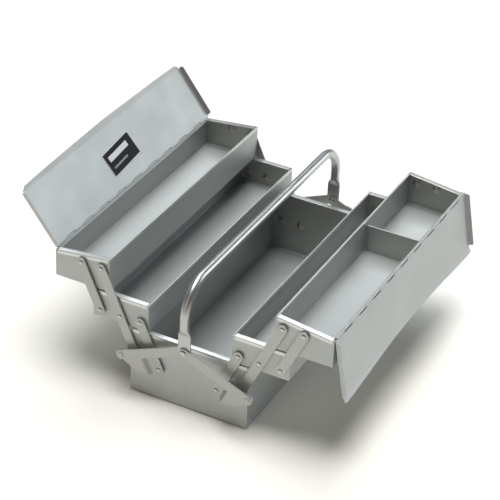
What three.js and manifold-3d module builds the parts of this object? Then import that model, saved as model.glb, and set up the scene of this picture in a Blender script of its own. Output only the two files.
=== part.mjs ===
// Cantilever toolbox with a base box, four swing-out trays and two lids, opened out.
// Millimetres, +Z up. +X is the way the trays spread, the front end is at -Y.
// The origin is the centre of the base's underside.
import * as THREE from 'three';
import { mergeVertices } from 'three/addons/utils/BufferGeometryUtils.js';
import Module from 'manifold-3d';

const wasm = await Module();
wasm.setup();

// ---- driving dimensions ----
const HALF_LEN = 218.4; // outer face of every end wall
const SHEET = 1.2;
const HEM = 2.0; // folded thickness of a long wall's top edge
const HEM_DEPTH = 4.5;
const RIM_STEP = 0.06; // folded rims sit this far under the wall's own edge
const FLANGE = 8.0; // inward top flange of an end wall
const FLANGE_GAP = 0.9; // open corner beside that flange

const BASE = { x0: -92, x1: 92, z0: 0, zTop: 104.4 };
const MID = { x0: 64.8, x1: 152.2, z0: 104.7, zTop: 149.2 };
const TOP = { x0: 127.2, x1: 213.6, z0: 149.8, zInner: 203.1, zOuter: 192.7 };

// linkage: two equal stages, leaning outward when open and inward when closed
const STAGE = { x: 31.0, z: 67.6 };
const PIVOT_SPACING = 31.8;
const CRANK_BASE = { x: 45.2, z: 51.8 };
const ARM_BASE = { x: CRANK_BASE.x + PIVOT_SPACING, z: CRANK_BASE.z };
const CRANK_TOP = { x: CRANK_BASE.x + STAGE.x, z: CRANK_BASE.z + STAGE.z };
const ARM_MID = { x: ARM_BASE.x + STAGE.x, z: ARM_BASE.z + STAGE.z };
const ARM_TOP = { x: ARM_MID.x + STAGE.x, z: ARM_MID.z + STAGE.z };
const LINK_LOW = { x: ARM_MID.x + PIVOT_SPACING, z: ARM_MID.z };
const LINK_TOP = { x: LINK_LOW.x + STAGE.x, z: LINK_LOW.z + STAGE.z };
const WING = { x: 100.0, z: 64.7 }; // toggle pivot on the bell crank
const HANDLE_PIVOT = { x: 0, z: 106.0 };
const STRAP_R = 7.25; // half width and end radius of every strap
const PIN_HOLE_R = 2.75;
// Step in the bell crank.
const JOGGLE = { xIn: 30, x0: 56, x1: 64, xOut: 112, zLow: 40, zSplit: 75.2, zHigh: 140 };
const TOGGLE_JOGGLE = { s0: 22, s1: 28 }; // step in the left toggle, from the handle pivot

// layers outward from an end wall's outer face
const STRAP_LAYER = [1.8, 4.0];
const WING_LAYER = { left: [9.6, 12.0], right: [13.5, 15.9] };
const TOGGLE_LAYER = { left: [12.3, 14.7], right: [16.2, 18.6] };
const TOGGLE_INNER_LAYER = [9.8, 12.2]; // left toggle beside the handle
const HANDLE_LAYER = [12.5, 15.9];
const TOGGLE_HEAD = 1.8;

// rivets
const RIVET = { shank: 2.4, head: 3.6, inner: -2.9, innerLand: -1.5, outerLand: 4.3, outer: 5.5 };
const HANDLE_RIVET = { shank: 2.6, head: 4.5, inner: 8.2, innerLand: 9.5, outerLand: 18.9, outer: 20.5 };
const RIVET_SIDES = 8;

// handle
const TUBE_R = 6.9;
const TUBE_OFF = 15.4; // tube centre outward from the end wall
const BAR_Z = 205.2;
const BEND_R = 48;
const FLAT_HALF = 9.75;
const SHOULDER_HALF = 7.6;
const FLAT_END_Z = HANDLE_PIVOT.z + 28;
const TAPER_END_Z = HANDLE_PIVOT.z + 38;

// lids: u runs from the hinge axis over the lid, t from the axis toward the lid's inside
const HINGE = { x: 213.4, z: 195.2 };
const KNUCKLE_R = 2.2;
const KNUCKLE_BORE = 1.4;
const HINGE_PIN_R = 1.1;
const KNUCKLES = 19;
const KNUCKLE_GAP = 0.5;
const LID_HALF = 219.8;
const LID_T = [1.0, 2.2]; // outer and inner face of the lid sheet
const LID_FLANGE = 5.5;
const LID_FLANGE_END = 88;
const SLOT_U = 3.2;
const LID_ANGLE = { left: 128.3, right: -79.3 }; // degrees from +X as opened
const LEFT_EDGE = [
  [0, 99.7], [50, 98.9], [85, 98.3], [120, 97.6], [150, 97.0], [180, 96.0], [208, 95.0], [213.5, 88.9],
];
const RIGHT_EDGE = [[0, 88.9], [50, 89.3], [75, 91.0], [116, 93.6], [165, 96.8], [208, 98.6], [216, 98.6]];
const BEND_U = 88.5;
const BEND_ANGLE = 13.7;
const BAND_HALF = 216;

const DIVIDER = { y: 64, thick: 1.2, zTop: 193.5 };
const LABEL = { y: -2.4, u: 42.5, width: 76, height: 38, turn: -4.5, thick: 0.5 };

const ABOVE_ALL = 220; // higher than any tub, for cuts that open upward
const CLEAN = 0.006; // slivers left by a cut are folded away below this

// ---- materials ----
const paint = new THREE.MeshStandardMaterial({ color: 0xa9aaa2, roughness: 0.42, metalness: 0.6 });
const steel = new THREE.MeshStandardMaterial({ color: 0xb4b4ae, roughness: 0.35, metalness: 0.8 });
const labelInk = new THREE.MeshStandardMaterial({ color: 0x16181c, roughness: 0.5, metalness: 0.0 });

// ---- solids ----
// faces meant to share a plane share it exactly
function snap(value) {
  return Math.round(value * 1e4) / 1e4;
}

function solidOf(geometry) {
  const bare = geometry.clone();
  bare.deleteAttribute('normal');
  bare.deleteAttribute('uv');
  const merged = mergeVertices(bare, 1e-4);
  const vertProperties = new Float32Array(merged.attributes.position.array.map(snap));
  const triVerts = new Uint32Array(merged.index.array);
  return new wasm.Manifold(new wasm.Mesh({ numProp: 3, vertProperties, triVerts }));
}

function geometryOf(solid) {
  const mesh = solid.simplify(CLEAN).getMesh();
  const geometry = new THREE.BufferGeometry();
  geometry.setAttribute('position', new THREE.BufferAttribute(new Float32Array(mesh.vertProperties), 3));
  geometry.setIndex(new THREE.BufferAttribute(new Uint32Array(mesh.triVerts), 1));
  return geometry;
}

function box(x0, x1, y0, y1, z0, z1) {
  const geometry = new THREE.BoxGeometry(Math.abs(x1 - x0), Math.abs(y1 - y0), Math.abs(z1 - z0));
  geometry.translate((x0 + x1) / 2, (y0 + y1) / 2, (z0 + z1) / 2);
  return solidOf(geometry);
}

// points are [x, z] pairs, extruded from y0 to y1
function slabXZ(points, y0, y1) {
  const low = Math.min(y0, y1);
  const high = Math.max(y0, y1);
  const shape = new THREE.Shape(points.map(([x, z]) => new THREE.Vector2(x, z)));
  const geometry = new THREE.ExtrudeGeometry(shape, { depth: high - low, bevelEnabled: false, steps: 1 });
  geometry.rotateX(Math.PI / 2);
  geometry.translate(0, high, 0);
  return solidOf(geometry);
}

// points are [x, y] pairs, extruded from z0 to z1
function slabXY(points, z0, z1) {
  const shape = new THREE.Shape(points.map(([x, y]) => new THREE.Vector2(x, y)));
  const geometry = new THREE.ExtrudeGeometry(shape, { depth: z1 - z0, bevelEnabled: false, steps: 1 });
  geometry.translate(0, 0, z0);
  return solidOf(geometry);
}

function rodY(x, z, radius, y0, y1, sides = 10) {
  const geometry = new THREE.CylinderGeometry(radius, radius, Math.abs(y1 - y0), sides);
  geometry.translate(x, (y0 + y1) / 2, z);
  return solidOf(geometry);
}

function arc(cx, cz, radius, from, to, steps) {
  const points = [];
  for (let i = 0; i <= steps; i += 1) {
    const a = THREE.MathUtils.degToRad(from + ((to - from) * i) / steps);
    points.push([cx + radius * Math.cos(a), cz + radius * Math.sin(a)]);
  }
  return points;
}

function stadium(a, b, radius) {
  const dir = THREE.MathUtils.radToDeg(Math.atan2(b.z - a.z, b.x - a.x));
  return [...arc(b.x, b.z, radius, dir - 90, dir + 90, 6), ...arc(a.x, a.z, radius, dir + 90, dir + 270, 6)];
}

function mirrorX(point, sx) {
  return { x: sx * point.x, z: point.z };
}

function outward(off) {
  return -(HALF_LEN + off);
}

const root = new THREE.Group();

function add(name, geometry, material) {
  const mesh = new THREE.Mesh(geometry, material);
  mesh.name = name;
  root.add(mesh);
  return mesh;
}

// front piece on one side, and its copy turned half round for the rear of the other side
function addPair(stem, side, geometry, material) {
  const other = side === 'left' ? 'right' : 'left';
  add(`${stem}_front_${side}`, geometry, material);
  const rear = add(`${stem}_rear_${other}`, geometry, material);
  rear.rotation.z = Math.PI;
}

// ---- tubs ----
// outline is a list of [x, z]; inner is the cavity's outline, cut right up through the rim
function tub(outline, cavity, flange, hems, pinHoles) {
  let solid = slabXZ(outline, -HALF_LEN, HALF_LEN);
  solid = solid.subtract(slabXZ(cavity, -HALF_LEN + SHEET, HALF_LEN - SHEET));
  for (const hem of hems) solid = solid.add(slabXZ(hem, -HALF_LEN + SHEET / 2, HALF_LEN - SHEET / 2));
  for (const sy of [-1, 1]) {
    solid = solid.add(slabXZ(flange, sy * (HALF_LEN - SHEET / 2), sy * (HALF_LEN - FLANGE)));
    for (const hole of pinHoles) {
      solid = solid.subtract(rodY(hole.x, hole.z, PIN_HOLE_R, sy * (HALF_LEN - 3), sy * (HALF_LEN + 1), 8));
    }
  }
  return solid;
}

function plainTub({ x0, x1, z0, zTop }, pinHoles) {
  const outline = [[x0, z0], [x1, z0], [x1, zTop], [x0, zTop]];
  const zClear = zTop + 9;
  const floor = [[x0 + SHEET, z0 + SHEET], [x1 - SHEET, z0 + SHEET]];
  const cavity = [...floor, [x1 - SHEET, zClear], [x0 + SHEET, zClear]];
  const f0 = x0 + HEM + FLANGE_GAP;
  const f1 = x1 - HEM - FLANGE_GAP;
  const rimZ = zTop - RIM_STEP;
  const flange = [[f0, rimZ - SHEET], [f1, rimZ - SHEET], [f1, rimZ], [f0, rimZ]];
  const hemZ = zTop - HEM_DEPTH;
  const hemLow = [[x0 + SHEET / 2, hemZ], [x0 + HEM, hemZ], [x0 + HEM, rimZ], [x0 + SHEET / 2, rimZ]];
  const hemHigh = [[x1 - SHEET / 2, hemZ], [x1 - SHEET / 2, rimZ], [x1 - HEM, rimZ], [x1 - HEM, hemZ]];
  return tub(outline, cavity, flange, [hemLow, hemHigh], pinHoles);
}

function topTub(sx) {
  const { x0, x1, z0, zInner, zOuter } = TOP;
  const rim = (x) => zInner - RIM_STEP + ((zOuter - zInner) * (x - x0)) / (x1 - x0);
  const at = (points) => points.map(([x, z]) => [sx * x, z]);
  const outline = at([[x0, z0], [x1, z0], [x1, zOuter], [x0, zInner]]);
  const floor = [[x0 + SHEET, z0 + SHEET], [x1 - SHEET, z0 + SHEET]];
  const cavity = at([...floor, [x1 - SHEET, ABOVE_ALL], [x0 + SHEET, ABOVE_ALL]]);
  const f0 = x0 + HEM + FLANGE_GAP;
  const f1 = x1 - HEM - FLANGE_GAP;
  const flange = at([[f0, rim(f0) - SHEET], [f1, rim(f1) - SHEET], [f1, rim(f1)], [f0, rim(f0)]]);
  const hemInner = at([
    [x0 + SHEET / 2, zInner - HEM_DEPTH], [x0 + HEM, zInner - HEM_DEPTH], [x0 + HEM, rim(x0 + HEM)],
    [x0 + SHEET / 2, rim(x0 + SHEET / 2)],
  ]);
  const hemOuter = at([
    [x1 - HEM, zOuter - HEM_DEPTH], [x1 - SHEET / 2, zOuter - HEM_DEPTH],
    [x1 - SHEET / 2, rim(x1)], [x1 - HEM, rim(x1)],
  ]);
  const pinHoles = [mirrorX(ARM_TOP, sx), mirrorX(LINK_TOP, sx)];
  const solid = tub(outline, cavity, flange, [hemInner, hemOuter], pinHoles);
  return addKnuckles(solid, sx * HINGE.x, HINGE.z, 1, (y0, y1) => box(
    sx * (x1 - SHEET), sx * x1, y0, y1, zOuter - 2, HINGE.z - KNUCKLE_BORE,
  ));
}

// knuckles are counted along the hinge; the tray owns the odd ones and the lid the even ones
function knuckleSpan(index) {
  const pitch = (2 * HALF_LEN - 8) / KNUCKLES;
  const y0 = -HALF_LEN + 4 + index * pitch + KNUCKLE_GAP / 2;
  return [y0, y0 + pitch - KNUCKLE_GAP];
}

function addKnuckles(solid, x, z, parity, tab) {
  let result = solid;
  for (let i = parity; i < KNUCKLES; i += 2) {
    const [y0, y1] = knuckleSpan(i);
    result = result.add(rodY(x, z, KNUCKLE_R, y0, y1, 8)).add(tab(y0, y1));
  }
  return result.subtract(rodY(x, z, KNUCKLE_BORE, -HALF_LEN - 5, HALF_LEN + 5, 8));
}

function pivotPair(point) {
  return [mirrorX(point, -1), mirrorX(point, 1)];
}

const baseHoles = [...pivotPair(CRANK_BASE), ...pivotPair(ARM_BASE)];
add('base_tub', geometryOf(plainTub(BASE, baseHoles)), paint);

for (const [side, sx] of [['left', -1], ['right', 1]]) {
  const [midX0, midX1] = [sx * MID.x0, sx * MID.x1].sort((a, b) => a - b);
  const midBox = { x0: midX0, x1: midX1, z0: MID.z0, zTop: MID.zTop };
  const midHoles = [CRANK_TOP, ARM_MID, LINK_LOW].map((p) => mirrorX(p, sx));
  add(`${side}_middle_tub`, geometryOf(plainTub(midBox, midHoles)), paint);
  add(`${side}_top_tub`, geometryOf(topTub(sx)), paint);
}

// ---- straps and links ----
function strap(ends, holes, sx) {
  const [a, b] = ends.map((p) => mirrorX(p, sx));
  let solid = slabXZ(stadium(a, b, STRAP_R), outward(STRAP_LAYER[0]), outward(STRAP_LAYER[1]));
  for (const hole of holes) {
    solid = solid.subtract(rodY(sx * hole.x, hole.z, PIN_HOLE_R, outward(0), outward(7), 8));
  }
  return geometryOf(solid);
}

// the crank's wing steps outward over the long arm's foot
function crankOutline(sx) {
  const { x: bx, z: bz } = CRANK_BASE;
  const { x: tx, z: tz } = CRANK_TOP;
  const lean = THREE.MathUtils.radToDeg(Math.atan2(tz - bz, tx - bx));
  const wingTop = arc(WING.x, WING.z, STRAP_R, -62, 98, 7);
  const points = [
    ...arc(tx, tz, STRAP_R, lean - 90, lean + 90, 6),
    ...arc(bx, bz, STRAP_R, lean + 90, lean + 205, 5),
    [62, 44.2], [78, 46.0], [91, 51.6],
    ...wingTop,
    [76, 68.5], [64, 68.0],
  ];
  return points.map(([x, z]) => [sx * x, z]);
}

function bellCrank(side, sx) {
  const layer = WING_LAYER[side];
  const outline = slabXZ(crankOutline(sx), outward(0), outward(20));
  const [strapIn, strapOut] = STRAP_LAYER.map(outward);
  const [wingIn, wingOut] = layer.map(outward);
  const { xIn, x0, x1, xOut, zLow, zSplit, zHigh } = JOGGLE;
  const step = [
    [xIn, strapIn], [x0, strapIn], [x1, wingIn], [xOut, wingIn],
    [xOut, wingOut], [x1 - 1.5, wingOut], [x0 - 1.5, strapOut], [xIn, strapOut],
  ];
  const lowBand = slabXY(step.map(([x, y]) => [sx * x, y]), zLow, zSplit);
  const highBand = box(sx * xIn, sx * xOut, strapIn, strapOut, zSplit, zHigh);
  let solid = outline.intersect(lowBand.add(highBand));
  for (const hole of [CRANK_BASE, CRANK_TOP]) {
    solid = solid.subtract(rodY(sx * hole.x, hole.z, PIN_HOLE_R, outward(0), outward(7), 8));
  }
  return geometryOf(solid);
}

// a bar from the wing to the handle pivot, drawn along its own length and then leaned
function toggle(side, sx) {
  const length = Math.hypot(WING.x, WING.z - HANDLE_PIVOT.z);
  const outer = TOGGLE_LAYER[side];
  const inner = side === 'left' ? TOGGLE_INNER_LAYER : outer;
  const a = { x: 0, z: 0 };
  const b = { x: length, z: 0 };
  const { s0, s1 } = TOGGLE_JOGGLE;
  let solid = slabXZ(stadium(a, b, STRAP_R), 0, -30);
  const profile = [
    [-20, -inner[0]], [s0, -inner[0]], [s1, -outer[0]], [130, -outer[0]],
    [130, -outer[1]], [s1 - 1, -outer[1]], [s0 - 1, -inner[1]], [-20, -inner[1]],
  ];
  solid = solid.intersect(slabXY(profile, -20, 20));
  solid = solid.add(rodY(length, 0, 4.0, -(outer[1] - 0.4), -(outer[1] + TOGGLE_HEAD), 10));
  solid = solid.subtract(rodY(0, 0, HANDLE_RIVET.shank + 0.4, 0, -30, 10));
  const geometry = geometryOf(solid);
  const droop = Math.atan2(HANDLE_PIVOT.z - WING.z, WING.x);
  geometry.rotateY(sx > 0 ? droop : Math.PI - droop);
  geometry.translate(HANDLE_PIVOT.x, outward(0), HANDLE_PIVOT.z);
  return geometry;
}

const frontRivets = {
  crank_base: CRANK_BASE, arm_base: ARM_BASE, crank_top: CRANK_TOP, arm_mid: ARM_MID,
  link_low: LINK_LOW, arm_top: ARM_TOP, link_top: LINK_TOP,
};

function rivetGeometry({ shank, head, inner, innerLand, outerLand, outer }) {
  const profile = [
    [0, inner], [head - 0.4, inner], [head, innerLand], [shank, innerLand],
    [shank, outerLand], [head, outerLand], [head - 0.9, outer], [0, outer],
  ];
  const geometry = new THREE.LatheGeometry(profile.map(([r, y]) => new THREE.Vector2(r, y)), RIVET_SIDES);
  return geometryOf(solidOf(geometry));
}

const rivetShape = rivetGeometry(RIVET);
for (const [side, sx] of [['left', -1], ['right', 1]]) {
  addPair('long_arm', side, strap([ARM_BASE, ARM_TOP], [ARM_BASE, ARM_MID, ARM_TOP], sx), steel);
  addPair('upper_link', side, strap([LINK_LOW, LINK_TOP], [LINK_LOW, LINK_TOP], sx), steel);
  addPair('bell_crank', side, bellCrank(side, sx), steel);
  addPair('toggle', side, toggle(side, sx), steel);
  for (const [stem, point] of Object.entries(frontRivets)) {
    for (const [end, sy] of [['front', -1], ['rear', 1]]) {
      const rivet = add(`rivet_${stem}_${end}_${side}`, rivetShape, steel);
      rivet.position.set(sx * point.x, sy * HALF_LEN, point.z);
      rivet.rotation.z = sy < 0 ? Math.PI : 0;
    }
  }
}

// ---- handle ----

function handleTube() {
  const legY = HALF_LEN + TUBE_OFF;
  const path = new THREE.CurvePath();
  const bendZ = BAR_Z - BEND_R;
  const bendY = legY - BEND_R;
  const k = BEND_R * 0.5523;
  const v = (y, z) => new THREE.Vector3(0, y, z);
  path.add(new THREE.LineCurve3(v(-legY, TAPER_END_Z - 1), v(-legY, bendZ)));
  const bend = (...points) => new THREE.CubicBezierCurve3(...points);
  path.add(bend(v(-legY, bendZ), v(-legY, bendZ + k), v(-bendY - k, BAR_Z), v(-bendY, BAR_Z)));
  path.add(new THREE.LineCurve3(v(-bendY, BAR_Z), v(bendY, BAR_Z)));
  path.add(bend(v(bendY, BAR_Z), v(bendY + k, BAR_Z), v(legY, bendZ + k), v(legY, bendZ)));
  path.add(new THREE.LineCurve3(v(legY, bendZ), v(legY, TAPER_END_Z - 1)));
  const circle = new THREE.Shape(arc(0, 0, TUBE_R, 0, 330, 11).map(([x, y]) => new THREE.Vector2(x, y)));
  return solidOf(new THREE.ExtrudeGeometry(circle, { steps: 44, bevelEnabled: false, extrudePath: path }));
}

// the tube's end, pressed flat below and round above
function handleFoot(sy) {
  const mid = (HANDLE_LAYER[0] + HANDLE_LAYER[1]) / 2;
  const half = (HANDLE_LAYER[1] - HANDLE_LAYER[0]) / 2;
  const taper = new THREE.CylinderGeometry(TUBE_R, TUBE_R, TAPER_END_Z - FLAT_END_Z, 12);
  taper.rotateX(Math.PI / 2);
  taper.translate(0, sy * (HALF_LEN + TUBE_OFF), (TAPER_END_Z + FLAT_END_Z) / 2);
  const position = taper.attributes.position;
  for (let i = 0; i < position.count; i += 1) {
    if (position.getZ(i) < FLAT_END_Z + 0.01) {
      const dx = position.getX(i) / TUBE_R;
      const dy = (position.getY(i) - sy * (HALF_LEN + TUBE_OFF)) / TUBE_R;
      position.setX(i, FLAT_HALF * dx);
      position.setY(i, sy * (HALF_LEN + mid) + half * dy);
    }
  }
  const { x, z } = HANDLE_PIVOT;
  const outline = [
    ...arc(x, z, FLAT_HALF, 180, 360, 8),
    [x + FLAT_HALF, FLAT_END_Z - 1], [x + SHOULDER_HALF, FLAT_END_Z + 5],
    [x - SHOULDER_HALF, FLAT_END_Z + 5], [x - FLAT_HALF, FLAT_END_Z - 1],
  ];
  const y0 = sy * (HALF_LEN + HANDLE_LAYER[0]);
  const y1 = sy * (HALF_LEN + HANDLE_LAYER[1]);
  const plate = slabXZ(outline, y0, y1);
  const hole = rodY(x, z, HANDLE_RIVET.shank + 0.4, sy * (HALF_LEN + 8), sy * (HALF_LEN + 20), 10);
  return plate.add(solidOf(taper)).subtract(hole);
}

add('handle_bar', geometryOf(handleTube().add(handleFoot(-1)).add(handleFoot(1))), steel);

const handleRivetShape = rivetGeometry(HANDLE_RIVET);
for (const [end, sy] of [['front', -1], ['rear', 1]]) {
  const rivet = add(`handle_rivet_${end}`, handleRivetShape, steel);
  rivet.position.set(HANDLE_PIVOT.x, sy * HALF_LEN, HANDLE_PIVOT.z);
  rivet.rotation.z = sy < 0 ? Math.PI : 0;
}

// ---- lids ----
// drawn with u along +X and the lid's inside toward -Z, then turned about the hinge axis
function edgePolygon(edge, uStart, yCut) {
  const rear = edge.map(([y, u]) => [u, Math.min(y, yCut)]);
  const front = edge.slice(1).map(([y, u]) => [u, -Math.min(y, yCut)]).reverse();
  return [[uStart, -yCut], ...front, ...rear, [uStart, yCut]];
}

function lidEndFlanges(solid) {
  let result = solid;
  for (const sy of [-1, 1]) {
    const y0 = sy * (LID_HALF - 1.0);
    const y1 = sy * LID_HALF;
    const [outer, inner] = [-LID_T[0], -LID_T[1]];
    const skirt = [
      [3, outer], [3, inner - 1], [6, inner - LID_FLANGE],
      [LID_FLANGE_END - 3, inner - LID_FLANGE], [LID_FLANGE_END, inner - 1], [LID_FLANGE_END, outer],
    ];
    result = result.add(slabXZ(skirt, y0, y1));
  }
  return result;
}

function lidSolid(edge) {
  const top = -LID_T[0];
  const under = -LID_T[1];
  let solid = slabXY(edgePolygon([[0, BEND_U], [LID_HALF, BEND_U]], 0, LID_HALF), under, top);
  const band = edgePolygon(edge, BEND_U - 0.4, BAND_HALF).map(([u, y]) => [u - BEND_U, y]);
  const shape = new THREE.Shape(band.map(([u, y]) => new THREE.Vector2(u, y)));
  const geometry = new THREE.ExtrudeGeometry(shape, { depth: top - under, bevelEnabled: false, steps: 1 });
  geometry.rotateY(THREE.MathUtils.degToRad(BEND_ANGLE));
  geometry.translate(BEND_U - 0.25, 0, under);
  solid = solid.add(solidOf(geometry));
  solid = lidEndFlanges(solid);
  for (let i = 1; i < KNUCKLES; i += 2) {
    const [y0, y1] = knuckleSpan(i);
    solid = solid.subtract(box(-1, SLOT_U, y0 - KNUCKLE_GAP, y1 + KNUCKLE_GAP, -4, 1));
  }
  return addKnuckles(solid, 0, 0, 0, (y0, y1) => box(0, 2, y0, y1, under, top));
}

function lidGeometry(solid, side) {
  const geometry = geometryOf(solid);
  const angle = THREE.MathUtils.degToRad(LID_ANGLE[side]);
  if (side === 'left') {
    geometry.rotateY(-angle);
    geometry.translate(-HINGE.x, 0, HINGE.z);
  } else {
    geometry.rotateZ(Math.PI);
    geometry.rotateY(Math.PI - angle);
    geometry.translate(HINGE.x, 0, HINGE.z);
  }
  return geometry;
}

add('left_lid_panel', lidGeometry(lidSolid(LEFT_EDGE), 'left'), paint);
add('right_lid_panel', lidGeometry(lidSolid(RIGHT_EDGE), 'right'), paint);

const labelZ = -LID_T[1] - 0.3;
const labelHalf = [LABEL.height / 2, LABEL.width / 2];
const label = box(-labelHalf[0], labelHalf[0], -labelHalf[1], labelHalf[1], labelZ - LABEL.thick, labelZ)
  .rotate([0, 0, -LABEL.turn])
  .translate([LABEL.u, LABEL.y, 0]);
add('label_plate', lidGeometry(label, 'left'), labelInk);

for (const [side, sx] of [['left', -1], ['right', 1]]) {
  const pin = rodY(sx * HINGE.x, HINGE.z, HINGE_PIN_R, -HALF_LEN + 3.5, HALF_LEN - 3.5, 8);
  add(`${side}_hinge_pin`, geometryOf(pin), steel);
}

// ---- divider ----
const dividerX = [TOP.x0 + HEM + 0.4, TOP.x1 - HEM - 0.4];
const dividerFoot = TOP.z0 + SHEET + 0.3;
const dividerOutline = [
  [dividerX[0], dividerFoot], [dividerX[1], dividerFoot],
  [dividerX[1], DIVIDER.zTop - 6], [dividerX[1] - 3.6, DIVIDER.zTop], [dividerX[0], DIVIDER.zTop],
];
add('divider_plate', geometryOf(slabXZ(dividerOutline, DIVIDER.y, DIVIDER.y + DIVIDER.thick)), paint);

export default root;
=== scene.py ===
"""Silver cantilever toolbox, opened out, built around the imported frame.

Lengths are in millimetres until an object is made.
"""
import math

import bmesh
import bpy
from mathutils import Matrix, Vector


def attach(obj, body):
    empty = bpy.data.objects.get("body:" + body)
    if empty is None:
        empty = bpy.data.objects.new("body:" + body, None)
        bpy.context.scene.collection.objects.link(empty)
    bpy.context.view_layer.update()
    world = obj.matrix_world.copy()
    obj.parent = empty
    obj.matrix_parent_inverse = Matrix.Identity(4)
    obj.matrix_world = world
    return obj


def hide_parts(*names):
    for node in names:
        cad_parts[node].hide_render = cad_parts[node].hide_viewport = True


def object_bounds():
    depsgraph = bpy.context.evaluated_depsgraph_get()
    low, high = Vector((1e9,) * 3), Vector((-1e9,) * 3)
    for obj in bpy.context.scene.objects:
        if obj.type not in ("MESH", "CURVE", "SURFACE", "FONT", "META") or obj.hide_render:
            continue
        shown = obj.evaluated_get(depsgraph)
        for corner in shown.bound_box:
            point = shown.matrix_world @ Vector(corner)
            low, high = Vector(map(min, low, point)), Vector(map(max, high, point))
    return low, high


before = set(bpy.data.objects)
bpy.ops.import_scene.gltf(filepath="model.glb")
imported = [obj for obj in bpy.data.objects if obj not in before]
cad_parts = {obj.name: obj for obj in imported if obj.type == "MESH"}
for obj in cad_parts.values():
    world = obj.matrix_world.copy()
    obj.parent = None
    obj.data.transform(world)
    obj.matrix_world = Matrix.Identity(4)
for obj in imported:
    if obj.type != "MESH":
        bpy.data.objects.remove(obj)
cad_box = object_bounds()

MM = 0.001
SHARP = 38  # degrees between faces from which an edge shows as sharp
HALF_LEN = 218.4
SHEET = 1.2
HEM = 2.0
FLANGE = 8.0
RIM_GAP = 2.9
BOTTOM_R = 2.6
LAP = 0.05  # how far a folded edge sinks into the sheet it belongs to
HEM_DEPTH = 4.6
FLANGE_DEPTH = 6.0
FLANGE_R = (1.9, 0.7)
WELD = {"pitch": 40, "inset": 4.8, "radius": 2.1, "height": 0.35}
# tubs: inner wall, outer wall, underside, rim; the top tray's rim slopes from its inner to its outer wall
BASE = (-92.0, 92.0, 0.0, 104.4)
MID = (64.8, 152.2, 104.7, 149.2)
TOP = (127.2, 213.6, 149.8, 203.1, 192.7)
# one stage of the linkage, from a pivot to the next one up
STAGE_X, STAGE_Z = 31.0, 67.6
LEAN = math.atan2(STAGE_X, STAGE_Z)
CRANK_BASE = (45.2, 51.8)
ARM_BASE = (77.0, 51.8)
CRANK_TOP = (76.2, 119.4)
ARM_MID = (108.0, 119.4)
ARM_TOP = (139.0, 187.0)
LINK_LOW = (139.8, 119.4)
LINK_TOP = (170.8, 187.0)
WING = (100.0, 64.7)
PIVOT = (0.0, 106.0)
STRAP_R = 7.25
# how far each layer of the linkage stands off the box's end: its inner face, then its outer one if needed
STRAP_Y = 1.8
STRAP_THICK = 2.2
TOGGLE_THICK = 2.4
WING_Y = {"left": 9.6, "right": 13.5}
TOGGLE_Y = {"left": (12.3, 14.7), "right": (16.2, 18.6)}
TOGGLE_NEAR_Y = {"left": 9.8, "right": 16.2}
# where the crank and the toggle step outward, measured along each from its own pivot
STEP = (8.0, 9.3, 10.7, 12.0, 13.3, 14.7, 16.0)
TOGGLE_STEP = (21.5, 23.1, 24.7, 26.3, 28.0)
HINGE = (213.4, 195.2)
KNUCKLES = 19
KNUCKLE_END = 4
KNUCKLE_GAP = 0.5
SLOT = {"left": (2.5, 0.3), "right": (3.1, 0.45)}  # depth, and play at each side of a knuckle
LID_HALF = 219.8
LID_T = (1.0, 2.2)  # outer and inner face, below the hinge axis when the lid is closed
LID_ANGLE = {"left": math.radians(128.3), "right": math.radians(-79.3)}
# half of each lid's free edge: (distance along the lid from its middle, distance from the hinge)
LEFT_EDGE = [
    (0, 99.7), (25, 99.4), (50, 98.9), (85, 98.3), (120, 97.6),
    (150, 97.0), (180, 96.0), (208, 95.0), (211.5, 92.0), (214.5, 90.9),
]
RIGHT_EDGE = [
    (0, 90.7), (30, 90.9), (50, 91.1), (75, 92.0), (95, 92.9), (116, 94.0),
    (140, 95.6), (165, 97.0), (190, 98.1), (212, 98.8), (216.4, 97.8),
]
BEND_U = 88.5
BEND = math.radians(13.7)
BEND_SPREAD = 2.0
BARREL = (2.0, 1.35)
SKIRT_DEPTH = 6.3
SKIRT_END = 88.0
LABEL = {"u": 42.5, "y": -2.4, "turn": math.radians(-4.5)}
DIVIDER_Y, DIVIDER_TOP = 64.0, 192.9
# the stage: metres and degrees, but the lens and its sensor in millimetres
FLOOR_HALF = 6.0
FLOOR_DROP = 0.0004
AMBIENT = 0.03
DISC = 35
# name, azimuth, elevation, strength, colour
LAMPS = (
    ("overhead", 0, 90, 0.84, (1.0, 1.0, 0.985)),
    ("back_left", 120, 55, 0.36, (0.93, 0.98, 1.0)),
    ("back_right", 48, 17, 0.27, (0.93, 0.98, 1.0)),
    ("front_fill", 262, 20, 0.09, (1.0, 0.84, 0.5)),
)
CAMERA = {"place": (1.0440, -2.1692, 1.6945), "azimuth": 26.188, "elevation": 32.829, "roll": -2.845}
LENS, SENSOR = 143.67, 36.0
SIDES = (("left", -1), ("right", 1))
ENDS = (("front", -1), ("rear", 1))


# ---------------------------------------------------------------- mesh helpers
def unit_circle(steps):
    turns = [2 * math.pi * i / steps for i in range(steps)]
    return [(math.cos(a), math.sin(a)) for a in turns]


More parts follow.
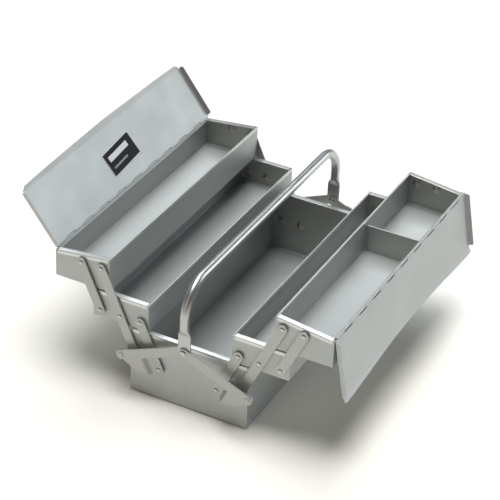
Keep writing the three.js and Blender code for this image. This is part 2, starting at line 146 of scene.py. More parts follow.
class Piece:
    """Mesh parts collected in millimetres and made into one object."""

    def __init__(self):
        self.bm = bmesh.new()

    def faces(self, verts, faces):
        made = [self.bm.verts.new(v) for v in verts]
        for f in faces:
            self.bm.faces.new([made[i] for i in f])
        return made

    def box(self, x0, x1, y0, y1, z0, z1):
        return self.prism([(x0, z0), (x1, z0), (x1, z1), (x0, z1)], y0, y1)

    def prism(self, outline, y0, y1):
        """outline is [(x, z)], run along Y."""
        return self.loft([[(x, y0, z) for x, z in outline], [(x, y1, z) for x, z in outline]])

    def loft(self, rings):
        """Equal rings joined one to the next, closed at both ends."""
        n = len(rings[0])
        verts = [p for ring in rings for p in ring]
        faces = []
        for k in range(len(rings) - 1):
            a, b = k * n, (k + 1) * n
            faces += [(a + i, a + (i + 1) % n, b + (i + 1) % n, b + i) for i in range(n)]
        faces.append(tuple(reversed(range(n))))
        faces.append(tuple(range((len(rings) - 1) * n, len(rings) * n)))
        return self.faces(verts, faces)

    def lathe_y(self, x, z, profile, steps=24):
        """profile is [(radius, y)] from one end of the axis to the other."""
        rings = []
        for radius, y in profile:
            radius = max(radius, 0.02)
            rings.append([(x + radius * c, y, z + radius * s) for c, s in unit_circle(steps)])
        return self.loft(rings)

    def ring_y(self, x, z, outer, inner, y0, y1, steps=20):
        """A short tube along Y."""
        loops = [(outer, y0), (outer, y1), (inner, y1), (inner, y0)]
        verts = [(x + r * c, y, z + r * s) for r, y in loops for c, s in unit_circle(steps)]
        faces = []
        for k in range(4):
            a, b = k * steps, ((k + 1) % 4) * steps
            faces += [(a + i, a + (i + 1) % steps, b + (i + 1) % steps, b + i) for i in range(steps)]
        return self.faces(verts, faces)

    def turn(self, verts, matrix):
        for v in verts:
            v.co = matrix @ v.co

    def object(self, name, body, material, bevel=0.35, segments=2, angle=32, nodes=()):
        bm = self.bm
        bmesh.ops.recalc_face_normals(bm, faces=bm.faces)
        for v in bm.verts:
            v.co *= MM
        for f in bm.faces:
            f.smooth = True
        mesh = bpy.data.meshes.new(name)
        bm.to_mesh(mesh)
        bm.free()
        mesh.set_sharp_from_angle(angle=math.radians(SHARP))
        obj = bpy.data.objects.new(name, mesh)
        bpy.context.scene.collection.objects.link(obj)
        obj.data.materials.append(material)
        if bevel:
            mod = obj.modifiers.new("edges", "BEVEL")
            mod.width = bevel * MM
            mod.segments = segments
            mod.limit_method = "ANGLE"
            mod.angle_limit = math.radians(angle)
            mod.harden_normals = True
        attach(obj, body)
        if nodes:
            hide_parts(*nodes)


def arc(cx, cz, radius, start, end, steps):
    """Points on an arc, angles in degrees."""
    return [
        (cx + radius * math.cos(math.radians(start + (end - start) * i / steps)),
         cz + radius * math.sin(math.radians(start + (end - start) * i / steps)))
        for i in range(steps + 1)
    ]


def stadium(a, b, radius, steps=14):
    lean = math.degrees(math.atan2(b[1] - a[1], b[0] - a[0]))
    return arc(*b, radius, lean - 90, lean + 90, steps) + arc(*a, radius, lean + 90, lean + 270, steps)


def mirrored(points, sx):
    return [(sx * x, z) for x, z in points]


def plate(piece, outline, offset_of, thick, cuts, sy):
    """A flat blank cut from outline, pressed out of its plane by offset_of(x, z), which is its inner face."""
    bm = bmesh.new()
    bm.faces.new([bm.verts.new((x, 0, z)) for x, z in outline])
    for point, normal in cuts:
        geom = bm.verts[:] + bm.edges[:] + bm.faces[:]
        bmesh.ops.bisect_plane(bm, geom=geom, plane_co=point, plane_no=normal, dist=1e-4)
    bmesh.ops.triangulate(bm, faces=[f for f in bm.faces if len(f.verts) > 4])
    bm.verts.ensure_lookup_table()
    bm.verts.index_update()
    inner = [(v.co.x, sy * (HALF_LEN + offset_of(v.co.x, v.co.z)), v.co.z) for v in bm.verts]
    outer = [(x, y + sy * thick, z) for x, y, z in inner]
    n = len(inner)
    faces = []
    for f in bm.faces:
        ids = [v.index for v in f.verts]
        faces.append(tuple(ids))
        faces.append(tuple(i + n for i in reversed(ids)))
    for e in bm.edges:
        if len(e.link_faces) == 1:
            a, b = e.verts[0].index, e.verts[1].index
            faces.append((a, b, b + n, a + n))
    bm.free()
    return piece.faces(inner + outer, faces)


# ---------------------------------------------------------------- materials
def node(tree, kind, **settings):
    made = tree.nodes.new(kind)
    for key, value in settings.items():
        setattr(made, key, value)
    return made


def silver(name, light, dark, rough, metallic, grain=0.16, scratch=0.5):
    """Fine metallic silver-grey paint: flake grain, faint mottling, dark specks and hairline scratches."""
    mat = bpy.data.materials.new(name)
    mat.use_nodes = True
    t = mat.node_tree
    shader = t.nodes["Principled BSDF"]
    coords = node(t, "ShaderNodeTexCoord")
    link = t.links.new

    def noise(scale, detail, roughness=0.55, stretch=None):
        n = node(t, "ShaderNodeTexNoise")
        n.inputs["Scale"].default_value = scale
        n.inputs["Detail"].default_value = detail
        n.inputs["Roughness"].default_value = roughness
        if stretch:
            m = node(t, "ShaderNodeMapping")
            m.inputs["Scale"].default_value = stretch
            link(coords.outputs["Object"], m.inputs["Vector"])
            link(m.outputs["Vector"], n.inputs["Vector"])
        else:
            link(coords.outputs["Object"], n.inputs["Vector"])
        return n.outputs["Fac"]

    def ramp(value, lo, hi, a=0.0, b=1.0):
        r = node(t, "ShaderNodeMapRange")
        r.inputs["From Min"].default_value = lo
        r.inputs["From Max"].default_value = hi
        r.inputs["To Min"].default_value = a
        r.inputs["To Max"].default_value = b
        link(value, r.inputs["Value"])
        return r.outputs["Result"]

    def mix(fac, a, b):
        m = node(t, "ShaderNodeMix", data_type="RGBA")
        link(fac, m.inputs["Factor"])
        for value, socket in ((a, m.inputs[6]), (b, m.inputs[7])):
            if isinstance(value, tuple):
                socket.default_value = (*value, 1)
            else:
                link(value, socket)
        return m.outputs[2]

    def add(a, b):
        m = node(t, "ShaderNodeMath", operation="ADD")
        link(a, m.inputs[0])
        link(b, m.inputs[1])
        return m.outputs[0]

    def bump(strength, distance, height, below=None):
        made = node(t, "ShaderNodeBump")
        made.inputs["Strength"].default_value = strength
        made.inputs["Distance"].default_value = distance
        link(height, made.inputs["Height"])
        if below:
            link(below.outputs["Normal"], made.inputs["Normal"])
        return made

    mottle = noise(9.0, 6)
    flake = noise(2600.0, 2, 0.7)
    specks = noise(900.0, 3, 0.6)
    hair = noise(60.0, 4, 0.6, (0.5, 9.0, 26.0))
    base = mix(ramp(mottle, 0.3, 0.7), light, dark)
    base = mix(ramp(flake, 0.35, 0.65, 0.0, grain), base, tuple(min(1.0, c * 1.5) for c in light))
    base = mix(ramp(specks, 0.6, 0.72, 0.0, 0.10), base, tuple(c * 0.55 for c in dark))
    link(base, shader.inputs["Base Color"])
    shader.inputs["Metallic"].default_value = metallic
    level = ramp(noise(22.0, 5), 0.3, 0.7, rough[0], rough[1])
    level = add(level, ramp(hair, 0.62, 0.74, 0.0, 0.07 * scratch))
    level = add(level, ramp(flake, 0.3, 0.7, -0.04, 0.05))
    link(level, shader.inputs["Roughness"])
    shader.inputs["Coat Weight"].default_value = 0.05
    shader.inputs["Coat Roughness"].default_value = 0.22
    fine = bump(0.10, 0.00004, flake)
    peel = bump(0.22, 0.0002, noise(240.0, 3), fine)
    wave = bump(0.12, 0.0012, noise(7.0, 1), peel)
    link(wave.outputs["Normal"], shader.inputs["Normal"])
    return mat


def plain(name, a, b, rough, scale=400.0, metallic=0.0, bump=0.0001, specular=0.5):
    """Two near tones mixed by a fine noise, for small parts."""
    mat = bpy.data.materials.new(name)
    mat.use_nodes = True
    t = mat.node_tree
    shader = t.nodes["Principled BSDF"]
    coords = node(t, "ShaderNodeTexCoord")
    n = node(t, "ShaderNodeTexNoise")
    n.inputs["Scale"].default_value = scale
    n.inputs["Detail"].default_value = 4
    t.links.new(coords.outputs["Object"], n.inputs["Vector"])
    m = node(t, "ShaderNodeMix", data_type="RGBA")
    m.inputs[6].default_value = (*a, 1)
    m.inputs[7].default_value = (*b, 1)
    t.links.new(n.outputs["Fac"], m.inputs["Factor"])
    t.links.new(m.outputs[2], shader.inputs["Base Color"])
    shader.inputs["Roughness"].default_value = rough
    shader.inputs["Metallic"].default_value = metallic
    shader.inputs["Specular IOR Level"].default_value = specular
    bumped = node(t, "ShaderNodeBump")
    bumped.inputs["Strength"].default_value = 0.3
    bumped.inputs["Distance"].default_value = bump
    t.links.new(n.outputs["Fac"], bumped.inputs["Height"])
    t.links.new(bumped.outputs["Normal"], shader.inputs["Normal"])
    return mat


PAINT = silver("silver_paint", (0.440, 0.458, 0.457), (0.400, 0.417, 0.416), (0.45, 0.53), 0.55)
# a lighter, glossier copy of the paint for the hems and end flanges: painted highlight standing in for the
# light their rounded edges catch
RIM_HIGHLIGHT = silver(
    "silver_paint_rim_highlight", (0.66, 0.675, 0.665), (0.58, 0.595, 0.585), (0.28, 0.36), 0.75, 0.1, 0.8,
)
LINK = silver("silver_links", (0.43, 0.438, 0.425), (0.39, 0.397, 0.385), (0.38, 0.46), 0.6)
TUBE = silver("silver_handle", (0.50, 0.51, 0.505), (0.44, 0.45, 0.445), (0.30, 0.38), 0.85, 0.1, 0.8)
RIVET = silver("rivet_steel", (0.5, 0.5, 0.485), (0.42, 0.42, 0.41), (0.22, 0.34), 0.97, 0.08, 0.3)
PIN = plain("hinge_pin_steel", (0.42, 0.42, 0.41), (0.3, 0.3, 0.3), 0.35, metallic=0.95)
DARK = plain("label_black", (0.008, 0.009, 0.011), (0.013, 0.014, 0.016), 0.5, specular=0.12)
PALE = plain("label_pale", (0.62, 0.63, 0.64), (0.55, 0.56, 0.57), 0.4)
GREY = plain("label_grey", (0.20, 0.215, 0.23), (0.17, 0.18, 0.195), 0.4)


# ---------------------------------------------------------------- tubs
def shell(piece, x0, x1, z0, top_of):
    """Five walls of thin sheet with an open top; top_of(x) is the rim height."""
    h, t = HALF_LEN, SHEET
    quarter = [math.radians(22.5 * i) for i in range(5)]

    def ring(inset, z_of):
        a, b, c = x0 + inset, x1 - inset, h - inset
        return [(x, y, z_of(x)) for x, y in ((a, -c), (b, -c), (b, c), (a, c))]

    def bend(radius, inset, z):
        levels = [(inset + radius * (1 - math.sin(q)), z + radius * (1 - math.cos(q))) for q in quarter]
        return [ring(start, lambda x, level=level: level) for start, level in levels]

    rings = bend(BOTTOM_R, 0, z0) + [ring(0, top_of), ring(t, top_of)]
    rings += reversed(bend(BOTTOM_R - t, t, z0 + t))
    verts = [v for corners in rings for v in corners]
    last = len(verts) - 4
    faces = [(0, 3, 2, 1), (last, last + 1, last + 2, last + 3)]
    for k in range(0, last, 4):
        faces += [(k + i, k + (i + 1) % 4, k + 4 + (i + 1) % 4, k + 4 + i) for i in range(4)]
    piece.faces(verts, faces)


def hem(piece, x_wall, inward, top, length):
    """The folded-over edge of a long wall: a rounded lip two sheets thick."""
    a, b = x_wall - inward * LAP, x_wall + inward * HEM
    r = (HEM + LAP) / 2
    cx = (a + b) / 2
    crown = arc(cx, top - r + LAP, r, 0, 180, 9)
    low = top - HEM_DEPTH
    outline = [(cx + r, low), *crown, (cx - r, low)]
    piece.prism(outline, -length, length)


def end_flange(piece, sy, x0, x1, top_of):
    """The end wall's top edge, bent inward over a small radius."""
    y = HALF_LEN + LAP
    r_out, r_in = FLANGE_R
    profile = arc(y - r_out, -r_out, r_out, 0, 90, 6)
    profile += [(y - FLANGE, 0.0), (y - FLANGE, -SHEET)]
    profile += arc(y - r_out, -r_out, r_in, 90, 0, 3)
    profile += [(y - SHEET, -FLANGE_DEPTH), (y, -FLANGE_DEPTH)]
    rings = [[(x, sy * p, top_of(x) + LAP + q) for p, q in profile] for x in (x0 + RIM_GAP, x1 - RIM_GAP)]
    piece.loft(rings)


def floor_details(piece, x0, x1, z0):
    """The end walls' lower flanges, spot welded to the floor."""
    t = SHEET
    for _, sy in ENDS:
        y_in = HALF_LEN - t
        a, b = sorted((sy * (y_in - 9.0), sy * (y_in + 0.3)))
        piece.box(x0 + t + 0.8, x1 - t - 0.8, a, b, z0 + t - 0.2, z0 + t + 1.0)
        count = max(3, round((x1 - x0) / WELD["pitch"]))
        for i in range(count):
            x = x0 + (x1 - x0) * (i + 0.5) / count
            y = sy * (y_in - WELD["inset"])
            bump_up(piece, x, y, z0 + t + 0.95, WELD["radius"], WELD["height"])


def bump_up(piece, x, y, z, radius, height, steps=12):
    """A low round bump facing up."""
    rings = []
    for r, h in ((radius, -0.1), (radius * 0.8, height * 0.7), (radius * 0.35, height), (0.05, height)):
        rings.append([(x + r * c, y + r * s, z + h) for c, s in unit_circle(steps)])
    piece.loft(rings)


def knuckle_span(i):
    """Where knuckle i starts and ends; the tray has the odd ones and the lid the even ones."""
    pitch = 2 * (HALF_LEN - KNUCKLE_END) / KNUCKLES
    y0 = -HALF_LEN + KNUCKLE_END + i * pitch + KNUCKLE_GAP / 2
    return y0, y0 + pitch - KNUCKLE_GAP


def top_rim(x):
    """The top trays' rim height, sloping down outward."""
    x = abs(x)
    return TOP[3] + (TOP[4] - TOP[3]) * (x - TOP[0]) / (TOP[1] - TOP[0])


def tub(name, body, x0, x1, z0, top_of, nodes):
    p = Piece()
    shell(p, x0, x1, z0, top_of)
    floor_details(p, x0, x1, z0)
    rims = Piece()
    hem(rims, x0, 1, top_of(x0), HALF_LEN - 0.4)
    hem(rims, x1, -1, top_of(x1), HALF_LEN - 0.4)
    for _, sy in ENDS:
        end_flange(rims, sy, x0, x1, top_of)
    # the hems and end flanges take the lighter rim paint, a painted highlight
    rims.object(f"{name}_rims", body, RIM_HIGHLIGHT, bevel=0.45, segments=3)
    p.object(name, body, PAINT, bevel=0.45, segments=3, nodes=nodes)


tub("base_box", "base", *BASE[:3], lambda x: BASE[3], ["base_tub"])
for side, sx in SIDES:
    xs = sorted((sx * MID[0], sx * MID[1]))
    tub(f"{side}_middle_box", f"{side}_middle_tray", *xs, MID[2], lambda x: MID[3], [f"{side}_middle_tub"])
    xs = sorted((sx * TOP[0], sx * TOP[1]))
    tub(f"{side}_top_box", f"{side}_top_tray", *xs, TOP[2], top_rim, [f"{side}_top_tub"])
    knuckles = Piece()
    for i in range(1, KNUCKLES, 2):
        y0, y1 = knuckle_span(i)
        knuckles.ring_y(sx * HINGE[0], HINGE[1], BARREL[0], BARREL[1], y0, y1)
        a, b = sorted((sx * (TOP[1] - SHEET), sx * TOP[1]))
        knuckles.box(a, b, y0, y1, TOP[4] - 4, HINGE[1] - 1.6)
    knuckles.object(f"{side}_tray_knuckles", f"{side}_top_tray", PAINT, bevel=0.2)
    pin = Piece()
    tip, end = HALF_LEN - 3.0, HALF_LEN - 3.5
    pin.lathe_y(sx * HINGE[0], HINGE[1], [(0.7, -tip), (1.1, -end), (1.1, end), (0.7, tip)], 16)
    pin.object(
        f"{side}_hinge_wire", f"{side}_top_tray", PIN,
        bevel=0, nodes=[f"{side}_hinge_pin"],
    )


# ---------------------------------------------------------------- lids
def lid_object(side, edge):
    """Drawn closed, u along +X from the hinge axis and the inside facing -Z, then turned open."""
    p = Piece()
    top, under = -LID_T[0], -LID_T[1]
    half = LID_HALF - 1.3
    slot_u, slot_gap = SLOT[side]
    start = 0.6
    outline = [(start, -half)]
    for i in range(1, KNUCKLES, 2):
        y0, y1 = knuckle_span(i)
        y0, y1 = y0 - slot_gap, y1 + slot_gap
        outline += [(start, y0), (slot_u, y0), (slot_u, y1), (start, y1)]
    flat_end = BEND_U - BEND_SPREAD
    outline += [(start, half), (flat_end, half), (flat_end, -half)]
    p.loft([[(u, y, under) for u, y in outline], [(u, y, top) for u, y in outline]])
    lid_band(p, edge, top)
    for _, sy in ENDS:
        lid_skirt(p, sy, half, top, under)
        p.box(start, flat_end, *sorted((sy * (half - 0.6), sy * (LID_HALF - 2.0))), under, top)
    for i in range(0, KNUCKLES, 2):
        y0, y1 = knuckle_span(i)
        p.ring_y(0, 0, BARREL[0], BARREL[1], y0, y1)
        p.box(-0.1, 1.4, y0, y1, under, top - 0.15)
    angle = LID_ANGLE[side]
    if side == "left":
        m = Matrix.Translation((-HINGE[0], 0, HINGE[1])) @ Matrix.Rotation(-angle, 4, "Y")
    else:
        turned = Matrix.Rotation(math.pi - angle, 4, "Y") @ Matrix.Rotation(math.pi, 4, "Z")
        m = Matrix.Translation((HINGE[0], 0, HINGE[1])) @ turned
    p.turn(p.bm.verts, m)
    p.object(
        f"{side}_lid_sheet", f"{side}_lid", PAINT,
        bevel=0.35, nodes=[f"{side}_lid_panel"],
    )
    return m


def lid_band(piece, edge, top):
    """The strip beyond the lid's bend: a rounded fold, then flat to the free edge."""
    border = [(-y, u) for y, u in reversed(edge[1:])] + edge
    ys = [y for y, _ in border]
    steps = 6
    radius = 2 * BEND_SPREAD / BEND
    start = BEND_U - BEND_SPREAD
    lines = []
    for k in range(steps + 1):
        a = BEND * k / steps
        lines.append([(start - 0.05 + radius * math.sin(a), radius * (1 - math.cos(a)), a)] * len(ys))
    beyond = [u - BEND_U for _, u in border]
    lines.append([(BEND_U + d * math.cos(BEND), d * math.sin(BEND), BEND) for d in beyond])
    upper = [(u, y, top - d) for line in lines for (u, d, a), y in zip(line, ys)]
    lower = [
        (u - SHEET * math.sin(a), y, top - d - SHEET * math.cos(a))
        for line in lines for (u, d, a), y in zip(line, ys)
    ]
    n, m = len(ys), len(lines)
    off = n * m
    faces = []
    for k in range(m - 1):
        for i in range(n - 1):
            a, b, c, d = k * n + i, k * n + i + 1, (k + 1) * n + i + 1, (k + 1) * n + i
            faces += [(a, b, c, d), (off + d, off + c, off + b, off + a)]
        for i in (0, n - 1):
            a, b = k * n + i, (k + 1) * n + i
            faces.append((a, b, off + b, off + a))
    for k in (0, m - 1):
        for i in range(n - 1):
            a, b = k * n + i, k * n + i + 1
            faces.append((a, b, off + b, off + a))
    piece.faces(upper + lower, faces)


def lid_skirt(piece, sy, half, top, under):
    """An end of the lid, bent toward its inside over a small radius, with rounded corners."""
    r_out, r_in = 2.0, 0.8
    y = LID_HALF
    low = under - SKIRT_DEPTH
    quarter = [math.radians(q) for q in range(0, 91, 15)]
    profile = [(half - 0.4, top)]
    profile += [(y - r_out + r_out * math.sin(q), top - r_out + r_out * math.cos(q)) for q in quarter]
    profile += [(y, low), (y - SHEET, low)]
    profile += [(y - r_out + r_in * math.sin(q), top - r_out + r_in * math.cos(q)) for q in reversed(quarter)]
    profile += [(half - 0.4, under)]
    rings = []
    u0, u1 = 3.2, SKIRT_END
    corner = ((0.0, 0.5), (0.6, 0.8), (2.2, 1.0))
    near = [(u0 + inset, share) for inset, share in corner]
    far = [(u1 - inset, share) for inset, share in reversed(corner)]
    for u, share in near + far:
        cut = under - SKIRT_DEPTH * share
        rings.append([(u, sy * a, max(b, cut)) for a, b in profile])
    piece.loft(rings)


left_lid_matrix = lid_object("left", LEFT_EDGE)
lid_object("right", RIGHT_EDGE)


def rounded(u0, u1, y0, y1, r):
    return (arc(u1 - r, y1 - r, r, 0, 90, 5) + arc(u0 + r, y1 - r, r, 90, 180, 5)
            + arc(u0 + r, y0 + r, r, 180, 270, 5) + arc(u1 - r, y0 + r, r, 270, 360, 5))


def label_layer(name, outline, z0, z1, material, nodes=()):
    """outline is in the label's own frame: [(across the lid, along it)] from its centre."""
    place = Matrix.Translation((LABEL["u"], LABEL["y"], -LID_T[1])) @ Matrix.Rotation(LABEL["turn"], 4, "Z")
    p = Piece()
    p.loft([[(u, y, -z0) for u, y in outline], [(u, y, -z1) for u, y in outline]])
    p.turn(p.bm.verts, left_lid_matrix @ place)
    p.object(name, "left_lid", material, bevel=0.08, nodes=nodes)


label_layer("label_edge", rounded(-18.8, 18.8, -38, 38, 1.6), 0.05, 0.5, PALE, ["label_plate"])
label_layer("label_field", rounded(-17.9, 17.9, -37.1, 37.1, 1.2), 0.3, 0.6, DARK)
label_layer("label_bar", rounded(2.0, 10.5, -29, 24, 0.7), 0.4, 0.68, PALE)
label_layer("label_line", rounded(-9.5, -6.5, -29, 10, 0.6), 0.4, 0.68, GREY)


# ---------------------------------------------------------------- straps, cranks and toggles
def flat(value):
    return lambda x, z: value


def smoothstep(t):
    t = min(1.0, max(0.0, t))
    return t * t * (3 - 2 * t)


def crank_outline():
    lean = 90 - math.degrees(LEAN)
    points = arc(*CRANK_TOP, STRAP_R, lean - 90, lean + 90, 14)
    points += arc(*CRANK_BASE, STRAP_R, lean + 90, lean + 205, 12)
    points += [(55, 44.2), (62, 44.2), (70, 44.8), (78, 46.2), (85, 48.6), (91, 51.8), (96, 55.0)]
    points += arc(*WING, STRAP_R, -50, 98, 14)
    points += [(88, 70.6), (76, 68.6), (69, 68.0), (65, 68.6), (62.3, 70.8)]
    return points


def crank(side, sx, sy, wing):
    """sx places it, wing picks the wing's layer."""
    inner = WING_Y[wing]
    n = Vector((math.cos(LEAN), 0, -math.sin(LEAN)))
    o = Vector((CRANK_BASE[0], 0, CRANK_BASE[1]))

    def offset(x, z):
        s = (Vector((abs(x), 0, z)) - o).dot(n)
        return STRAP_Y + (inner - STRAP_Y) * smoothstep((s - STEP[0]) / (STEP[-1] - STEP[0]))

    cuts = []
    for s in STEP:
        at = o + n * s
        cuts.append(((sx * at.x, 0, at.z), (sx * n.x, 0, n.z)))
    p = Piece()
    plate(p, mirrored(crank_outline(), sx), offset, STRAP_THICK, cuts, sy)
    end = "front" if sy < 0 else "rear"
    p.object(
        f"{end}_{side}_crank", f"{side}_bell_cranks", LINK,
        bevel=0.45, segments=2, nodes=[f"bell_crank_{end}_{side}"],
    )


def toggle(side, sx, sy, layer):
    length = math.hypot(WING[0], PIVOT[1] - WING[1])
    droop = math.atan2(PIVOT[1] - WING[1], WING[0])
    d = Vector((math.cos(droop), 0, -math.sin(droop)))
    o = Vector((PIVOT[0], 0, PIVOT[1]))
    near, far = TOGGLE_NEAR_Y[layer], TOGGLE_Y[layer][0]

    def offset(x, z):
        s = (Vector((abs(x), 0, z)) - o).dot(d)
        if sx * x < 0:
            s = -1.0
        return near + (far - near) * smoothstep((s - TOGGLE_STEP[0]) / (TOGGLE_STEP[-1] - TOGGLE_STEP[0]))

    cuts = []
    if near != far:
        for s in TOGGLE_STEP:
            at = o + d * s
            cuts.append(((sx * at.x, 0, at.z), (sx * d.x, 0, d.z)))
    p = Piece()
    plate(p, mirrored(stadium(PIVOT, WING, STRAP_R), sx), offset, TOGGLE_THICK, cuts, sy)
    top = HALF_LEN + TOGGLE_Y[layer][1]
    dome = ((4.4, -0.2), (4.4, 0.7), (3.9, 1.3), (2.6, 1.7), (0.1, 1.8))
    p.lathe_y(sx * WING[0], WING[1], [(radius, sy * (top + rise)) for radius, rise in dome])
    end = "front" if sy < 0 else "rear"
    p.object(
        f"{end}_{side}_toggle_bar", f"{side}_toggles", LINK,
        bevel=0.45, segments=2, nodes=[f"toggle_{end}_{side}"],
    )


def strap(name, body, a, b, sx, sy, node_name):
    p = Piece()
    plate(p, mirrored(stadium(a, b, STRAP_R), sx), flat(STRAP_Y), STRAP_THICK, [], sy)
    p.object(name, body, LINK, bevel=0.45, segments=2, nodes=[node_name])


def lathe_off_end(piece, x, z, sy, profile):
    """A turned part on the box's end wall; profile is [(radius, distance off the end wall)]."""
    piece.lathe_y(x, z, [(radius, sy * (HALF_LEN + off)) for radius, off in profile])


def rivet(name, body, x, z, sy, node_name):
    """Domed head outside, spacer under the strap, washer and shop head inside."""
    p = Piece()
    shank = [(2.4, -1.6), (2.4, 3.7)]
    head = [(3.7, 3.9), (3.7, 4.5), (3.3, 5.0), (2.5, 5.35), (1.4, 5.5), (0.1, 5.52)]
    spacer = [(4.2, 0.1), (4.4, 0.4), (4.4, 1.4), (4.2, 1.7)]
    washer = [(5.7, -1.25), (6.1, -1.5), (6.1, -2.3), (5.7, -2.6), (4.3, -2.6), (3.8, -2.1)]
    shop_head = [(3.5, -2.0), (3.6, -2.9), (3.1, -3.5), (1.9, -3.9), (0.1, -4.0)]
    for profile in (shank + head, spacer, washer, shop_head):
        lathe_off_end(p, x, z, sy, profile)
    p.object(name, body, RIVET, bevel=0, nodes=[node_name])


PIVOTS = {
    "crank_base": (CRANK_BASE, "base"), "arm_base": (ARM_BASE, "base"),
    "crank_top": (CRANK_TOP, "{}_middle_tray"), "arm_mid": (ARM_MID, "{}_middle_tray"),
    "link_low": (LINK_LOW, "{}_middle_tray"),
    "arm_top": (ARM_TOP, "{}_top_tray"), "link_top": (LINK_TOP, "{}_top_tray"),
}
for end, sy in ENDS:
    for side, sx in SIDES:
        at = f"{end}_{side}"
        # the rear linkage is the front one turned half a turn, so its layers swap sides
        layer = side if sy < 0 else ("right" if side == "left" else "left")
        crank(side, sx, sy, layer)
        toggle(side, sx, sy, layer)
        strap(f"{at}_long_strap", f"{side}_long_arms", ARM_BASE, ARM_TOP, sx, sy, f"long_arm_{at}")
        strap(f"{at}_short_strap", f"{side}_upper_links", LINK_LOW, LINK_TOP, sx, sy, f"upper_link_{at}")
        for stem, ((px, pz), body) in PIVOTS.items():
            rivet(f"{at}_{stem}_pin", body.format(side), sx * px, pz, sy, f"rivet_{stem}_{at}")


# ---------------------------------------------------------------- handle
def handle():
    """One tube: flat eye, shoulder, round leg, bend, bar and back down, as rings along its centreline."""
    sides = 28
    tube_r, tube_off, bar_z, bend_r = 6.9, 15.4, 205.2, 48.0
    flat_half, flat_off, flat_thick = 9.75, 14.2, 1.75
    leg_y = HALF_LEN + tube_off
    rings = []

    def section(centre, along, half_x, half_n, square):
        """along is the centreline's direction in the YZ plane; the section spans X and the normal to it."""
        normal = Vector((0, -along.z, along.y))
        ring = []
        e = 2.0 / square
        for c, s in unit_circle(sides):
            px = half_x * math.copysign(abs(c) ** e, c)
            pn = half_n * math.copysign(abs(s) ** e, s)
            ring.append(tuple(centre + Vector((px, 0, 0)) + normal * pn))
        return ring

    up = Vector((0, 0, 1))
    flat_square, round_square = 7.0, 2.0
    shoulder, shoulder_length = 133, 12
    stations = []
    for q in range(8):
        a = math.radians(8 + 82 * q / 7)
        z, half = PIVOT[1] - flat_half * math.cos(a), flat_half * math.sin(a)
        stations.append((z, half, flat_thick, flat_square, flat_off))
    for z in (113, 121, 128, shoulder):
        stations.append((z, flat_half, flat_thick, flat_square, flat_off))
    for k in range(1, 9):
        t = k / 8
        s = smoothstep(t)
        stations.append((
            shoulder + shoulder_length * t,
            flat_half + (tube_r - flat_half) * s,
            flat_thick + (tube_r - flat_thick) * s,
            flat_square + (round_square - flat_square) * min(1, t * 1.6),
            flat_off + (tube_off - flat_off) * s,
        ))
    bend_z = bar_z - bend_r
    leg_z = (shoulder + shoulder_length + bend_z) / 2
    stations.append((leg_z, tube_r, tube_r, round_square, tube_off))
    front = []
    for z, hx, hn, sq, off in stations:
        front.append(section(Vector((0, -(HALF_LEN + off), z)), up, hx, hn, sq))
    for k in range(17):
        a = math.pi / 2 * k / 16
        centre = Vector((0, -leg_y + bend_r * (1 - math.cos(a)), bend_z + bend_r * math.sin(a)))
        front.append(section(centre, Vector((0, math.sin(a), math.cos(a))), tube_r, tube_r, round_square))
    for y in (-150, -110, -70, -35, 0):
        front.append(section(Vector((0, y, bar_z)), Vector((0, 1, 0)), tube_r, tube_r, round_square))
    rear = [[(x, -y, z) for x, y, z in ring] for ring in reversed(front[:-1])]
    p = Piece()
    p.loft(front + rear)
    p.object(
        "handle_tube", "handle", TUBE,
        bevel=0.25, segments=2, angle=50, nodes=["handle_bar"],
    )


handle()
for end, sy in ENDS:
    p = Piece()
    shank_and_head = [
        (2.6, 9.0), (2.6, 18.8), (4.6, 18.8), (4.6, 19.4),
        (4.1, 20.0), (3.0, 20.4), (1.5, 20.6), (0.1, 20.62),
    ]
    inner_head = [(0.1, 8.0), (2.5, 8.1), (3.9, 8.5), (4.2, 9.1), (4.2, 9.6), (2.4, 9.6)]
    lathe_off_end(p, *PIVOT, sy, shank_and_head)
    lathe_off_end(p, *PIVOT, sy, inner_head)
    p.object(
        f"{end}_handle_pin", "handle_pins", RIVET,
        bevel=0, nodes=[f"handle_rivet_{end}"],
    )


# ---------------------------------------------------------------- divider
def divider():
    """A sheet with a rolled top edge, standing between two pairs of guides."""
    p = Piece()
    x0, x1 = TOP[0] + SHEET + 0.2, TOP[1] - SHEET - 0.2
    z0, z1, y = TOP[2] + SHEET + 0.1, DIVIDER_TOP, DIVIDER_Y
    outline = [(x0, z0), (x1, z0), (x1, z1 - 6), (x1 - 4, z1), (x0, z1)]
    p.prism(outline, y, y + SHEET)
    roll = arc(y + 0.6, z1 - 0.8, 1.1, 0, 330, 11)
    p.loft([[(x, *point) for point in roll] for x in (x0 + 1.2, x1 - 4.5)])
    p.box(x0 + 1, x1 - 1, y + SHEET - 0.1, y + 8.0, z0, z0 + 1.0)
    p.object(
        "divider_sheet", "right_top_tray", PAINT,
        bevel=0.3, nodes=["divider_plate"],
    )
    g = Piece()
    for wall, inward in ((TOP[0] + SHEET, 1), (TOP[1] - SHEET, -1)):
        for dy in (-2.6, SHEET + 0.9):
            a, b = sorted((wall, wall + inward * 3.2))
            g.box(a, b, y + dy, y + dy + 1.7, z0, z1 - 8)
    g.object("divider_guides", "right_top_tray", PAINT, bevel=0.3)


divider()

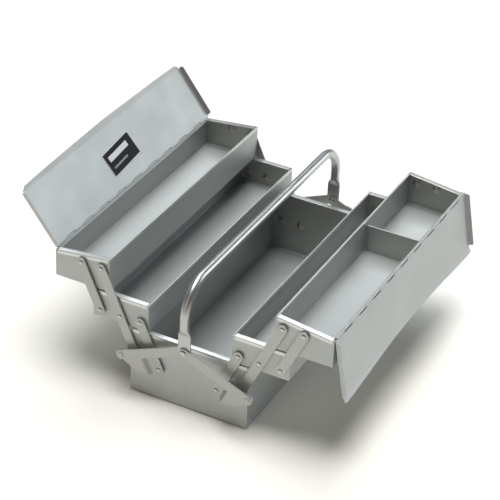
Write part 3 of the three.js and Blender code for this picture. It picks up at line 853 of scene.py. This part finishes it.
# ---------------------------------------------------------------- floor, light and camera
def stage():
    mesh = bpy.data.meshes.new("floor")
    z = cad_box[0].z - FLOOR_DROP
    corners = [(sx * FLOOR_HALF, sy * FLOOR_HALF, z) for sx, sy in ((-1, -1), (1, -1), (1, 1), (-1, 1))]
    mesh.from_pydata(corners, [], [(0, 1, 2, 3)])
    obj = bpy.data.objects.new("floor", mesh)
    bpy.context.scene.collection.objects.link(obj)
    obj.data.materials.append(plain("floor_paper", (0.955, 0.94, 0.895), (0.94, 0.925, 0.88), 0.85, 6.0))


def lamp(name, azimuth, elevation, strength, colour):
    """A wide, far light seen from the object as a soft disc."""
    data = bpy.data.lights.new(name, "SUN")
    data.energy = math.pi * strength
    data.angle = math.radians(DISC)
    data.color = colour
    obj = bpy.data.objects.new(name, data)
    bpy.context.scene.collection.objects.link(obj)
    a, e = math.radians(azimuth), math.radians(elevation)
    toward = Vector((math.cos(a) * math.cos(e), math.sin(a) * math.cos(e), math.sin(e)))
    obj.rotation_euler = toward.to_track_quat("Z", "Y").to_euler()


world = bpy.data.worlds.new("studio")
world.use_nodes = True
background = world.node_tree.nodes["Background"]
background.inputs["Color"].default_value = (0.90, 0.965, 1.0, 1)
background.inputs["Strength"].default_value = AMBIENT
bpy.context.scene.world = world
stage()
for settings in LAMPS:
    lamp(*settings)


def camera():
    data = bpy.data.cameras.new("camera")
    obj = bpy.data.objects.new("camera", data)
    bpy.context.scene.collection.objects.link(obj)
    bpy.context.scene.camera = obj
    data.sensor_width = SENSOR
    data.lens = LENS
    data.clip_start, data.clip_end = 0.1, 50
    az, el, roll = (math.radians(CAMERA[key]) for key in ("azimuth", "elevation", "roll"))
    level = Vector((math.cos(az), math.sin(az), 0))
    upright = Vector((-math.sin(az) * math.sin(el), math.cos(az) * math.sin(el), math.cos(el)))
    back = level.cross(upright)
    right = math.cos(roll) * level - math.sin(roll) * upright
    up = math.sin(roll) * level + math.cos(roll) * upright
    columns = Matrix((right, up, back)).transposed()
    obj.matrix_world = Matrix.Translation(CAMERA["place"]) @ columns.to_4x4()


camera()
bpy.context.scene.view_settings.view_transform = "Standard"
